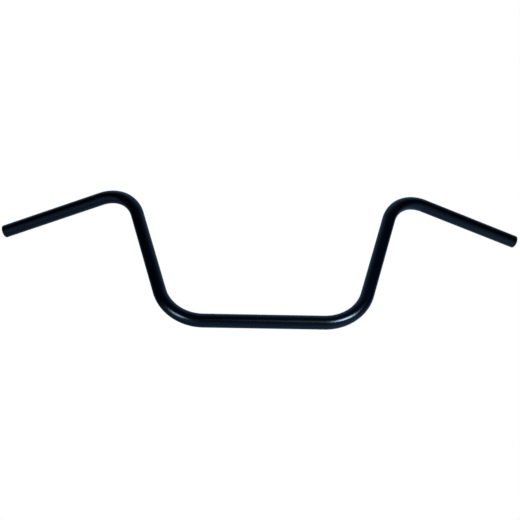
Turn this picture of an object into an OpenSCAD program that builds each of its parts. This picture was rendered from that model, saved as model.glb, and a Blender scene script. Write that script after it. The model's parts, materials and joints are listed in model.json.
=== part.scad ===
// Ape hanger handlebar for a motorbike: one length of round steel tube, bent four times.
// A straight middle for the clamps, a bend and a riser on each side, then a bend and a
// straight grip, which sweeps back towards the rider. Both ends are cut square and open.
//
// Frame, in millimetres: the origin is the centre of the clamp section, +X runs along it to
// the rider's left, +Y points back towards the rider, and +Z is up in the risers' own plane.

/* [Tube] */
// Outer diameter of the tube, the common seven-eighths inch size
tube_od = 22.2; // [19:0.1:32]
// Wall thickness of the tube
tube_wall = 2; // [1.2:0.1:4]
// Width of the bevel that breaks the outer and inner edge of each open end
end_bevel = 0.4; // [0.1:0.1:0.5]

/* [Clamp section] */
// Length of the straight middle that the clamps hold
clamp_straight = 190; // [80:1:320]

/* [Lower bends] */
// Radius of each lower bend, to the middle of the tube
lower_bend_radius = 75; // [45:1:130]
// Angle of each riser above the level of the clamp section
riser_angle = 73; // [45:1:90]

/* [Risers] */
// Straight length of each riser
riser_straight = 158; // [30:1:420]

/* [Upper bends] */
// Radius of each upper bend, to the middle of the tube
upper_bend_radius = 65; // [45:1:120]

/* [Grips] */
// Straight length of each grip, up to its open end
grip_straight = 190; // [110:1:260]
// Angle that each grip falls below the level, towards its end
grip_droop = 7; // [-10:1:25]
// Angle that each grip sweeps back towards the rider
grip_sweep = 22; // [0:1:45]

/* [Hidden] */
$fn = 96;

coat_color = [0.03, 0.04, 0.06];

tube_r = tube_od / 2;
bore_r = tube_r - tube_wall;

// Unit vectors of the half on the +X side: along the riser, square to it towards the middle
// of the bar and up, and along the grip towards its end
riser_heading = [cos(riser_angle), 0, sin(riser_angle)];
riser_inward = [-sin(riser_angle), 0, cos(riser_angle)];
grip_heading = [cos(grip_droop) * cos(grip_sweep), cos(grip_droop) * sin(grip_sweep), -sin(grip_droop)];

// How many neighbouring angles are tried on each side for one that comes out in short decimals
closing_tries = 200;

// The lower bend turns from the clamp section to the riser. The upper bend joins the riser
// to the grip: how far it turns, and how its plane is turned about the riser.
lower_bend_angle = closing_angle(riser_angle);
upper_bend_angle = closing_angle(acos(riser_heading * grip_heading));
upper_bend_roll = closing_angle(atan2(-grip_heading.y, grip_heading * riser_inward));

// Degrees by which each half of a bend runs on past the bend's middle, into the other half
half_bend_overlap = 4;

// An angle within a few hundredths of a degree of the given one, chosen so that its sine
// and cosine are both all but exact at six decimals. Two halves of a bend that are placed
// by it still share one surface when the geometry is written down with six digits.
function closing_angle(angle) =
    let (
        unit = 1000000,
        steep = abs(sin(angle)) > abs(cos(angle)),
        short_leg = round(unit * (steep ? cos(angle) : sin(angle))),
        misses = [for (k = [-closing_tries : closing_tries]) leg_miss(unit, short_leg + k)],
        k = search(min(misses), misses)[0] - closing_tries,
        leg = (short_leg + k) / unit,
        other_leg = sqrt(1 - leg * leg)
    )
    steep
        ? atan2(sign(sin(angle)) * other_leg, leg)
        : atan2(leg, sign(cos(angle)) * other_leg);

// How far the other leg is from a whole number, for a hypotenuse and a leg that are whole
function leg_miss(hypotenuse, leg) =
    let (other_leg = sqrt(hypotenuse * hypotenuse - leg * leg))
    abs(other_leg - round(other_leg));

// Cross-section of the tube
module tube_section() {
    difference() {
        circle(r = tube_r);
        circle(r = bore_r);
    }
}

// Straight tube from the origin along +Z. Its children start at its far end.
module tube_run(length) {
    linear_extrude(length) tube_section();
    translate([0, 0, length]) children();
}

// Bent tube that leaves the origin along +Z and turns towards +X. Its children start at its
// far end. It is two overlapping halves, each revolved from its own end of the bend, where
// its flat end is exact and so meets the straight tube there face to face.
module tube_bend(radius, angle) {
    half_angle = angle / 2 + half_bend_overlap;
    bend_start(radius, half_angle);
    translate([radius, 0, 0]) rotate([0, angle, 0]) translate([-radius, 0, 0]) {
        rotate([180, 0, 0]) bend_start(radius, half_angle);
        children();
    }
}

// The first part of a bend that leaves the origin along +Z and turns towards +X. Its section
// is turned half round, so that its seam runs on from that of the straight tube.
module bend_start(radius, angle) {
    translate([radius, 0, 0])
        rotate([90, 0, 180])
        rotate_extrude(angle = angle)
        translate([radius, 0])
        rotate(180)
        tube_section();
}

// Straight tube from the origin along +Z to an open end, whose edges are bevelled
module tube_open_end(length) {
    rotate_extrude()
        polygon([
            [bore_r, 0], [tube_r, 0],
            [tube_r, length - end_bevel], [tube_r - end_bevel, length],
            [bore_r + end_bevel, length], [bore_r, length - end_bevel]
        ]);
}

// One half, from the middle of the clamp section in one chain of runs and bends. The side
// is 1 towards +X and -1 towards -X. The second half is the first one turned about, with
// its upper bend rolled the other way, so that both grips sweep back.
module half_bar(side) {
    rotate([0, 0, side > 0 ? 0 : 180])
        rotate([180, -90, 0])
        tube_run(clamp_straight / 2)
        tube_bend(lower_bend_radius, lower_bend_angle)
        tube_run(riser_straight)
        rotate([0, 0, side * upper_bend_roll])
        tube_bend(upper_bend_radius, upper_bend_angle)
        tube_open_end(grip_straight);
}

module handlebar() {
    color(coat_color)
    union() {
        half_bar(1);
        half_bar(-1);
    }
}

handlebar();
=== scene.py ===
import json
import math

import bpy
from mathutils import Matrix, Vector


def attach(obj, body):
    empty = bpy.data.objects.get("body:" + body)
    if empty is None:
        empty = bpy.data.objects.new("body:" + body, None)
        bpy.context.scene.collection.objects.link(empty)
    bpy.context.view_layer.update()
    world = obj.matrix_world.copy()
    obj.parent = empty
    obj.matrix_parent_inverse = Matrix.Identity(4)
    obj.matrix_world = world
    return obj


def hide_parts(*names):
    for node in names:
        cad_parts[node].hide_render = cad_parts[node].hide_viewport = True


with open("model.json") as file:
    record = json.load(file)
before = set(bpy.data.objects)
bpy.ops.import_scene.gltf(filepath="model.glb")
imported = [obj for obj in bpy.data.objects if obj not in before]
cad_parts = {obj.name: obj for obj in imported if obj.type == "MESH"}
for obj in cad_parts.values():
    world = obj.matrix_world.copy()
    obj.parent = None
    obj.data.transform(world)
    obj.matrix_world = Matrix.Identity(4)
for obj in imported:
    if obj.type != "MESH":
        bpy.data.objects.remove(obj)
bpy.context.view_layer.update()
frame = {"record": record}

# Ape hanger handlebar: one bent steel tube with a smooth black coat, in its mounted frame.
# Units are metres. +X runs to the rider's left, +Y back towards the rider and +Z up.

MM = 0.001

# Sizes of the bends and straights, the same driving dimensions that the CAD part has
LOWER_BEND_RADIUS = 75 * MM
RISER_ANGLE = math.radians(73)
RISER_STRAIGHT = 158 * MM
UPPER_BEND_RADIUS = 65 * MM
GRIP_STRAIGHT = 190 * MM
END_BEVEL = 0.4 * MM

# Fineness of the tube's mesh
SIDES = 96
BEND_STEP = math.radians(1.25)
STRAIGHT_STEP = 12 * MM

# Each edge of the end bevels is rounded over this length, in this many steps, and a
# supporting ring lies this much further on, so that the flat faces shade flat
EDGE_ROUND = 0.12 * MM
EDGE_STEPS = 3
EDGE_SUPPORT = 0.08 * MM

# How bare the steel is, from 0 where the coat is whole to 1 where there is none: over the
# open end, along the end's edges, and the depth of bore over which it grows by 1
END_BARENESS = 0.2
EDGE_BARENESS = 0.42
BARE_DEPTH = 30 * MM


def mount(name):
    """The frame's mount of this name."""
    return next(m for m in frame["record"]["mounts"] if m["name"] == name)


# The centreline is a list of stations, in order from the middle of the clamp section to the
# open end on +X. A station is a point, the tube's heading there, and a normal that turns
# with it.


def straight_stations(station, length):
    """Stations along a straight length, without the one that it starts from."""
    point, heading, normal = station
    steps = max(1, round(length / STRAIGHT_STEP))
    return [(point + heading * (length * i / steps), heading, normal) for i in range(1, steps + 1)]


def bend_stations(station, towards, radius, angle):
    """Stations round a bend that turns the heading to the unit vector towards, square to it."""
    point, heading, normal = station
    axis = heading.cross(towards)
    centre = point + towards * radius
    steps = max(1, round(angle / BEND_STEP))
    stations = []
    for i in range(1, steps + 1):
        turn = Matrix.Rotation(angle * i / steps, 3, axis)
        stations.append((centre + turn @ (point - centre), turn @ heading, turn @ normal))
    return stations


def half_centreline(clamp_length, grip_heading):
    """Stations of the half on the +X side."""
    stations = [(Vector((0, 0, 0)), Vector((1, 0, 0)), Vector((0, 0, 1)))]
    stations += straight_stations(stations[-1], clamp_length / 2)
    stations += bend_stations(stations[-1], Vector((0, 0, 1)), LOWER_BEND_RADIUS, RISER_ANGLE)
    stations += straight_stations(stations[-1], RISER_STRAIGHT)
    riser_heading = stations[-1][1]
    cosine = riser_heading.dot(grip_heading)
    towards = (grip_heading - riser_heading * cosine).normalized()
    stations += bend_stations(stations[-1], towards, UPPER_BEND_RADIUS, math.acos(cosine))
    return stations + straight_stations(stations[-1], GRIP_STRAIGHT)


def rounded_corner(before, corner, after):
    """Points that round a corner of a profile off, with a supporting point on each side."""
    into = (corner - before).normalized()
    out = (after - corner).normalized()
    start = corner - into * EDGE_ROUND
    end = corner + out * EDGE_ROUND
    points = [start - into * EDGE_SUPPORT]
    for i in range(EDGE_STEPS + 1):
        t = i / EDGE_STEPS
        points.append(start * (1 - t) ** 2 + corner * (2 * t * (1 - t)) + end * t ** 2)
    points.append(end + out * EDGE_SUPPORT)
    return points


def end_profile(outer_radius, bore_radius):
    """The open end as (radius, distance before the end, bareness), from outside to bore."""
    corners = [
        Vector((outer_radius, STRAIGHT_STEP)),
        Vector((outer_radius, END_BEVEL)),
        Vector((outer_radius - END_BEVEL, 0)),
        Vector((bore_radius + END_BEVEL, 0)),
        Vector((bore_radius, END_BEVEL)),
        Vector((bore_radius, STRAIGHT_STEP)),
    ]
    # The innermost edge is knocked by nothing, so it is no barer than the faces beside it
    edges = [EDGE_BARENESS, EDGE_BARENESS, EDGE_BARENESS, END_BARENESS]
    profile = []
    for before, corner, after, edge in zip(corners, corners[1:], corners[2:], edges):
        points = rounded_corner(before, corner, after)
        bareness = [edge] * len(points)
        bareness[0] = END_BARENESS
        bareness[-1] = END_BARENESS
        profile += [(*point, bare) for point, bare in zip(points, bareness)]
    return profile


def ring(station, radius):
    """Points round the tube at a station."""
    point, heading, normal = station
    binormal = heading.cross(normal)
    points = []
    for i in range(SIDES):
        turn = 2 * math.pi * i / SIDES
        points.append(point + (normal * math.cos(turn) + binormal * math.sin(turn)) * radius)
    return points


def mirrored(points):
    """The same points on the other side of the bar's middle plane."""
    return [Vector((-p.x, p.y, p.z)) for p in points]


def closed_sweep(name, rings, bareness):
    """A mesh object whose faces join each ring of points to the next and the last to the first.

    Each ring's bareness is kept on its points for the material.
    """
    vertices = [point for points in rings for point in points]
    faces = []
    for k in range(len(rings)):
        here = k * SIDES
        there = (k + 1) % len(rings) * SIDES
        for i in range(SIDES):
            j = (i + 1) % SIDES
            faces.append((here + i, here + j, there + j, there + i))
    mesh = bpy.data.meshes.new(name)
    mesh.from_pydata(vertices, [], faces)
    mesh.polygons.foreach_set("use_smooth", [True] * len(faces))
    mesh.validate()
    bare = mesh.attributes.new("bareness", "FLOAT", "POINT")
    bare.data.foreach_set("value", [value for value in bareness for _ in range(SIDES)])
    tube = bpy.data.objects.new(name, mesh)
    bpy.context.scene.collection.objects.link(tube)
    return tube


def make_tube():
    """The whole bar: coated outside, both rims and the bore, as one closed surface."""
    clamp_seat = mount("clamp_seat")["dims"]
    end_bore = mount("left_end_bore")
    outer_radius = clamp_seat["r_mm"] * MM
    bore_radius = end_bore["dims"]["r_mm"] * MM
    grip_heading = Vector(end_bore["axis"]).normalized()
    stations = half_centreline(clamp_seat["length_mm"] * MM, grip_heading)

    # The last station gives way to the rim's own rings
    end_point, end_heading, end_normal = stations[-1]
    walls = stations[:-1]
    outside = [ring(station, outer_radius) for station in walls]
    inside = [ring(station, bore_radius) for station in reversed(walls)]
    profile = end_profile(outer_radius, bore_radius)
    rim = [
        ring((end_point - end_heading * back, end_heading, end_normal), radius)
        for radius, back, _ in profile
    ]
    half = outside + rim + inside

    depths = [(end_point - point).length for point, _, _ in reversed(walls)]
    bareness = [0.0] * len(outside)
    bareness += [bare for _, _, bare in profile]
    bareness += [min(1.0, END_BARENESS + depth / BARE_DEPTH) for depth in depths]

    # The other half runs the loop on from the middle's bore ring to the middle's outer ring
    other_half = [mirrored(points) for points in reversed(half[1:-1])]
    return closed_sweep("handlebar_tube", half + other_half, bareness + bareness[-2:0:-1])


# Shader helpers


def node(tree, kind, **values):
    """A new shader node with these properties or inputs set."""
    made = tree.nodes.new(kind)
    for key, value in values.items():
        if hasattr(made, key):
            setattr(made, key, value)
        else:
            made.inputs[key.replace("_", " ")].default_value = value
    return made


def new_material(name):
    """An empty node material and its tree."""
    material = bpy.data.materials.new(name)
    material.use_nodes = True
    material.node_tree.nodes.clear()
    return material, material.node_tree


def spread(tree, value, low, high):
    """A value from 0 to 1, spread out from low to high."""
    made = node(tree, "ShaderNodeMapRange", To_Min=low, To_Max=high)
    tree.links.new(value, made.inputs["Value"])
    return made.outputs["Result"]


def blend(tree, share, first, second, data_type="RGBA"):
    """A blend of two colours or numbers, each given plainly or as a socket."""
    made = node(tree, "ShaderNodeMix", data_type=data_type)
    factor, a, b = [socket for socket in made.inputs if socket.enabled]
    tree.links.new(share, factor)
    for socket, value in ((a, first), (b, second)):
        if isinstance(value, bpy.types.NodeSocket):
            tree.links.new(value, socket)
        else:
            socket.default_value = value
    return [socket for socket in made.outputs if socket.enabled][0]


def combine(tree, operation, first, second):
    """The sum, product or larger of a socket's value and another socket's or a plain number."""
    made = node(tree, "ShaderNodeMath", operation=operation)
    tree.links.new(first, made.inputs[0])
    if isinstance(second, float):
        made.inputs[1].default_value = second
    else:
        tree.links.new(second, made.inputs[1])
    return made.outputs["Value"]


# The black coat and the steel under it

# Patterns of noise, each as (features to the metre, layers of finer detail)
SMEARS = (28.0, 4.0)
DUST = (1600.0, 1.0)
ORANGE_PEEL = (600.0, 2.0)
CHIPS = (420.0, 3.0)
NOISE_ROUGHNESS = 0.6

# Colours that the smears blend between
COAT_COLORS = ((0.0, 0.0003, 0.0018, 1), (0.0, 0.0010, 0.0044, 1))
STEEL_COLORS = ((0.28, 0.24, 0.20, 1), (0.42, 0.40, 0.38, 1))

# The coat mirrors with a cool tint
COAT_IOR = 1.5
COAT_MIRROR_TINT = (0.71, 0.84, 1.0, 1)

# Roughness that the smears blend between, and how much dust adds or takes away
COAT_ROUGHNESS = (0.17, 0.25)
STEEL_ROUGHNESS = (0.38, 0.55)
DUST_ROUGHNESS = 0.03

# Bare steel is dulled by oxide, so it is metallic only in part
STEEL_METALLIC = 0.4

# How far the chips' noise shifts the bareness either way, and the shifted bareness at which
# steel begins to show and at which no coat is left
CHIP_SHIFT = 0.25
COAT_BREAKS = 0.46
COAT_GONE = 0.52

# The orange peel's share of full bump, and the height of its bumps
PEEL_STRENGTH = 0.09
PEEL_DEPTH = 0.4 * MM


def noise(tree, pattern):
    """Fractal noise over the piece, in one of the patterns."""
    scale, detail = pattern
    place = node(tree, "ShaderNodeTexCoord")
    made = node(
        tree, "ShaderNodeTexNoise", Scale=scale, Detail=detail, Roughness=NOISE_ROUGHNESS
    )
    tree.links.new(place.outputs["Object"], made.inputs["Vector"])
    return made.outputs["Fac"]


def bare_share(tree):
    """Where steel shows: ragged chips along the rims, and the bore beyond the coat's reach."""
    bareness = node(tree, "ShaderNodeAttribute", attribute_name="bareness")
    ragged = spread(tree, noise(tree, CHIPS), -CHIP_SHIFT, CHIP_SHIFT)
    share = node(tree, "ShaderNodeMapRange", From_Min=COAT_BREAKS, From_Max=COAT_GONE)
    tree.links.new(combine(tree, "ADD", bareness.outputs["Fac"], ragged), share.inputs["Value"])
    return share.outputs["Result"]


def black_coat():
    """Smooth black coat with a cool cast, fine orange peel, slight smears and worn rims."""
    material, tree = new_material("black_coat")
    link = tree.links.new
    output = node(tree, "ShaderNodeOutputMaterial")
    shader = node(
        tree, "ShaderNodeBsdfPrincipled", IOR=COAT_IOR, Specular_Tint=COAT_MIRROR_TINT
    )
    link(shader.outputs["BSDF"], output.inputs["Surface"])

    smears = noise(tree, SMEARS)
    bare = bare_share(tree)
    coat_color = blend(tree, smears, *COAT_COLORS)
    steel_color = blend(tree, smears, *STEEL_COLORS)
    link(blend(tree, bare, coat_color, steel_color), shader.inputs["Base Color"])
    link(blend(tree, bare, 0.0, STEEL_METALLIC, "FLOAT"), shader.inputs["Metallic"])
    dust = spread(tree, noise(tree, DUST), -DUST_ROUGHNESS, DUST_ROUGHNESS)
    coat_roughness = combine(tree, "ADD", spread(tree, smears, *COAT_ROUGHNESS), dust)
    steel_roughness = spread(tree, smears, *STEEL_ROUGHNESS)
    link(blend(tree, bare, coat_roughness, steel_roughness, "FLOAT"), shader.inputs["Roughness"])

    bump = node(tree, "ShaderNodeBump", Strength=PEEL_STRENGTH, Distance=PEEL_DEPTH)
    link(noise(tree, ORANGE_PEEL), bump.inputs["Height"])
    link(bump.outputs["Normal"], shader.inputs["Normal"])
    return material


# Lamps

WHITE = (1, 1, 1)
COOL = (0.80, 0.94, 1.0)

# Each lamp is placed from one of these points: a softbox from the part of the bar that
# mirrors it, and the rear and the top lamp from the bar's middle
LEFT_LOWER_BEND = Vector((130, 0, 12)) * MM
RIGHT_LOWER_BEND = Vector((-135, 0, 15)) * MM
BAR_FOOT = Vector((0, 0, 0))
BAR_MIDDLE = Vector((0, 30, 120)) * MM


def direction(azimuth, elevation):
    """Unit vector from the bar; azimuth 0 is the front, -Y, and 90 is +X."""
    a = math.radians(azimuth)
    e = math.radians(elevation)
    return Vector((math.sin(a) * math.cos(e), -math.cos(a) * math.cos(e), math.sin(e)))


def softbox(name, lit, azimuth, elevation, distance, wide, high, radiance, color, beam=180):
    """An oval area light that faces the lit point, at this distance in metres from it.

    It is this many degrees wide and high as seen from there. Its beam is how many degrees
    its light spreads over.
    """
    light = bpy.data.lights.new(name, "AREA")
    light.shape = "ELLIPSE"
    light.size = 2 * distance * math.tan(math.radians(wide / 2))
    light.size_y = 2 * distance * math.tan(math.radians(high / 2))
    light.color = color
    light.spread = math.radians(beam)
    # The power that gives this radiance straight ahead, over the oval's area and its beam
    half_beam = light.spread / 2
    area = math.pi / 4 * light.size * light.size_y
    light.energy = radiance * math.pi * area * (1 - half_beam / math.tan(half_beam))
    lamp = bpy.data.objects.new(name, light)
    lamp.location = lit + direction(azimuth, elevation) * distance
    lamp.rotation_mode = "QUATERNION"
    lamp.rotation_quaternion = (lamp.location - lit).to_track_quat("Z", "Y")
    lamp.visible_camera = False
    bpy.context.scene.collection.objects.link(lamp)
    return lamp


def make_lamps():
    """Softboxes that the lower bends and the clamp section mirror, a rear and a top lamp."""
    softbox(
        "key_softbox", LEFT_LOWER_BEND, azimuth=30.6, elevation=-17.6, distance=0.65,
        wide=36, high=22, radiance=37, color=COOL, beam=42,
    )
    softbox(
        "fill_softbox", RIGHT_LOWER_BEND, azimuth=-44.4, elevation=-28.3, distance=0.5,
        wide=33, high=22, radiance=14, color=COOL, beam=44,
    )
    softbox(
        "middle_softbox", BAR_FOOT, azimuth=10, elevation=-16, distance=0.9,
        wide=28, high=16, radiance=0.66, color=COOL,
    )
    softbox(
        "rear_softbox", BAR_MIDDLE, azimuth=182, elevation=35, distance=1.6,
        wide=24, high=18, radiance=1.6, color=WHITE,
    )
    # This one is for the shadow on the floor alone, so the coat doesn't mirror it
    top_lamp = softbox(
        "top_softbox", BAR_MIDDLE, azimuth=0, elevation=86, distance=1.6,
        wide=6, high=6, radiance=320, color=WHITE,
    )
    top_lamp.visible_glossy = False


# Floor

FLOOR_HEIGHT = -0.85
FLOOR_RADIUS = 12
FLOOR_SIDES = 96
FLOOR_COLOR = (0.955, 0.8, 0.65, 1)

# The floor's own glow under the bar, and how far out it has grown to white
FLOOR_GLOW = 0.35
FLOOR_WHITE_RADIUS = 5.0


def pale_floor():
    """A pale matte colour, with a glow that grows to white far out."""
    material, tree = new_material("pale_floor")
    link = tree.links.new
    output = node(tree, "ShaderNodeOutputMaterial")
    place = node(tree, "ShaderNodeTexCoord")
    reach = node(tree, "ShaderNodeVectorMath", operation="LENGTH")
    link(place.outputs["Object"], reach.inputs[0])
    glow = node(
        tree, "ShaderNodeMapRange", interpolation_type="SMOOTHSTEP",
        From_Min=0.0, From_Max=FLOOR_WHITE_RADIUS, To_Min=FLOOR_GLOW, To_Max=1.0,
    )
    link(reach.outputs["Value"], glow.inputs["Value"])
    matte = node(tree, "ShaderNodeBsdfDiffuse", Color=FLOOR_COLOR)
    white = node(tree, "ShaderNodeEmission", Color=(*WHITE, 1))
    link(glow.outputs["Result"], white.inputs["Strength"])
    both = node(tree, "ShaderNodeAddShader")
    link(matte.outputs["BSDF"], both.inputs[0])
    link(white.outputs["Emission"], both.inputs[1])
    link(both.outputs["Shader"], output.inputs["Surface"])
    return material


def make_floor():
    """A wide floor with the bar's soft shadow on it. The bar neither mirrors it nor is lit by it."""
    bpy.ops.mesh.primitive_circle_add(
        vertices=FLOOR_SIDES, radius=FLOOR_RADIUS, fill_type="NGON",
        location=(0, 0, FLOOR_HEIGHT),
    )
    floor = bpy.context.object
    floor.name = "floor"
    floor.data.materials.append(pale_floor())
    floor.visible_glossy = False
    floor.visible_diffuse = False
    return floor


# Room, as the coat mirrors it

# Tint of the room's light
ROOM_TINT = (0.39, 0.64, 1.0)

# The room is made of soft patches. The levels of a patch are pairs of the cosine of the
# angle to its middle and the level there.

# The pale upper part lies up, and a little behind the bar
SKY_TILT = math.radians(15)
SKY_LEVELS = [
    (0.2, 0.0), (0.36, 0.02), (0.47, 0.06), (0.58, 0.16), (0.67, 0.3), (0.78, 0.42), (1.0, 0.5)
]

# The pale lower part lies straight down
GROUND_LEVELS = [(0.05, 0.0), (0.19, 0.06), (0.45, 0.16), (0.68, 0.32), (0.84, 0.4), (1.0, 0.43)]

# The camera stands in a dark part, ahead of the bar and below it, which keeps only these
# shares of the lower part's light
DARK_AZIMUTH = 14
DARK_ELEVATION = -36
DARK_SHARES = [(0.6, 1.0), (0.8, 0.8), (0.9, 0.45), (1.0, 0.3)]

# The pale part behind the bar lies this many degrees below the level
BACK_DROP = 30
BACK_LEVELS = [(0.0, 0.02), (0.1, 0.1), (0.23, 0.2), (0.48, 0.31), (0.67, 0.42), (1.0, 0.37)]

# The lower part and the part behind are dimmer towards -X than towards +X. The share of
# their light goes from one to the other over this reach of the direction's x, either way.
SIDE_REACH = 0.4
MINUS_X_SHARE = 0.6
PLUS_X_SHARE = 1.5

# Patches of glow, as (azimuth, elevation, levels): one round the fill softbox, ahead and
# below, and a small one low down on each side
FILL_GLOW = [(0.75, 0.0), (0.85, 0.12), (0.93, 0.22), (1.0, 0.3)]
SIDE_GLOW = [(0.93, 0.0), (0.965, 0.09), (0.985, 0.16), (1.0, 0.18)]
GLOWS = [(-60, -45, FILL_GLOW), (-87, -32, SIDE_GLOW), (78, -38, SIDE_GLOW)]

# The level that the whole room has at least
ROOM_DARKNESS = 0.004


def along(tree, place, axis):
    """How far the place's direction points along this unit vector, from -1 to 1."""
    dot = node(tree, "ShaderNodeVectorMath", operation="DOT_PRODUCT")
    tree.links.new(place, dot.inputs[0])
    dot.inputs[1].default_value = axis
    return dot.outputs["Value"]


def levels(tree, value, stops):
    """A level that runs through these (value, level) stops."""
    ramp = node(tree, "ShaderNodeValToRGB")
    tree.links.new(value, ramp.inputs["Fac"])
    while len(ramp.color_ramp.elements) < len(stops):
        ramp.color_ramp.elements.new(1.0)
    for element, (position, level) in zip(ramp.color_ramp.elements, stops):
        element.position = position
        element.color = (level, level, level, 1)
    return ramp.outputs["Color"]


def room_level(tree):
    """The room's light in each direction from the bar."""
    place = node(tree, "ShaderNodeTexCoord").outputs["Generated"]
    sky_way = (0, math.sin(SKY_TILT), math.cos(SKY_TILT))
    sky = levels(tree, along(tree, place, sky_way), SKY_LEVELS)
    ground = levels(tree, along(tree, place, (0, 0, -1)), GROUND_LEVELS)
    dark = levels(tree, along(tree, place, direction(DARK_AZIMUTH, DARK_ELEVATION)), DARK_SHARES)
    back = levels(tree, along(tree, place, direction(180, -BACK_DROP)), BACK_LEVELS)

    lower = combine(tree, "MAXIMUM", combine(tree, "MULTIPLY", ground, dark), back)
    side = node(
        tree, "ShaderNodeMapRange", interpolation_type="SMOOTHSTEP",
        From_Min=-SIDE_REACH, From_Max=SIDE_REACH, To_Min=MINUS_X_SHARE, To_Max=PLUS_X_SHARE,
    )
    tree.links.new(along(tree, place, (1, 0, 0)), side.inputs["Value"])
    lower = combine(tree, "MULTIPLY", lower, side.outputs["Result"])
    level = combine(tree, "ADD", combine(tree, "ADD", lower, sky), ROOM_DARKNESS)
    for azimuth, elevation, stops in GLOWS:
        glow = levels(tree, along(tree, place, direction(azimuth, elevation)), stops)
        level = combine(tree, "ADD", level, glow)
    return level


def make_world():
    """White to the camera. To the bar it is a dim room, pale above and below and dark ahead."""
    world = bpy.data.worlds.new("studio")
    bpy.context.scene.world = world
    world.use_nodes = True
    tree = world.node_tree
    tree.nodes.clear()
    link = tree.links.new
    output = node(tree, "ShaderNodeOutputWorld")
    room = node(tree, "ShaderNodeBackground", Color=(*ROOM_TINT, 1))
    link(room_level(tree), room.inputs["Strength"])
    white = node(tree, "ShaderNodeBackground", Color=(*WHITE, 1), Strength=1.0)
    ray = node(tree, "ShaderNodeLightPath")
    mix = node(tree, "ShaderNodeMixShader")
    link(ray.outputs["Is Camera Ray"], mix.inputs["Fac"])
    link(room.outputs["Background"], mix.inputs[1])
    link(white.outputs["Background"], mix.inputs[2])
    link(mix.outputs["Shader"], output.inputs["Surface"])


# Camera, which stands in front and below and looks up at the bar

CAMERA_PLACE = Vector((-51.93, -1265.26, -729.69)) * MM
CAMERA_YAW = math.radians(2.076)
CAMERA_RISE = math.radians(33.749)
CAMERA_ROLL = math.radians(0.025)

# Focal length and sensor width, in millimetres
CAMERA_LENS = 64.26
CAMERA_SENSOR = 36

# Nearest and furthest distance that the camera sees
CAMERA_NEAR = 0.01
CAMERA_FAR = 50


def make_camera():
    """The photograph's view of the bar."""
    camera_data = bpy.data.cameras.new("camera")
    camera_data.lens = CAMERA_LENS
    camera_data.sensor_width = CAMERA_SENSOR
    camera_data.clip_start = CAMERA_NEAR
    camera_data.clip_end = CAMERA_FAR
    camera = bpy.data.objects.new("camera", camera_data)
    turn = (
        Matrix.Rotation(-CAMERA_YAW, 4, "Z")
        @ Matrix.Rotation(math.pi / 2 + CAMERA_RISE, 4, "X")
        @ Matrix.Rotation(-CAMERA_ROLL, 4, "Z")
    )
    camera.matrix_world = Matrix.Translation(CAMERA_PLACE) @ turn
    bpy.context.scene.collection.objects.link(camera)
    bpy.context.scene.camera = camera


tube = make_tube()
tube.data.materials.append(black_coat())
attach(tube, "root")
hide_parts("handlebar")

make_lamps()
floor = make_floor()
make_world()
make_camera()
bpy.context.scene.view_settings.view_transform = "Standard"
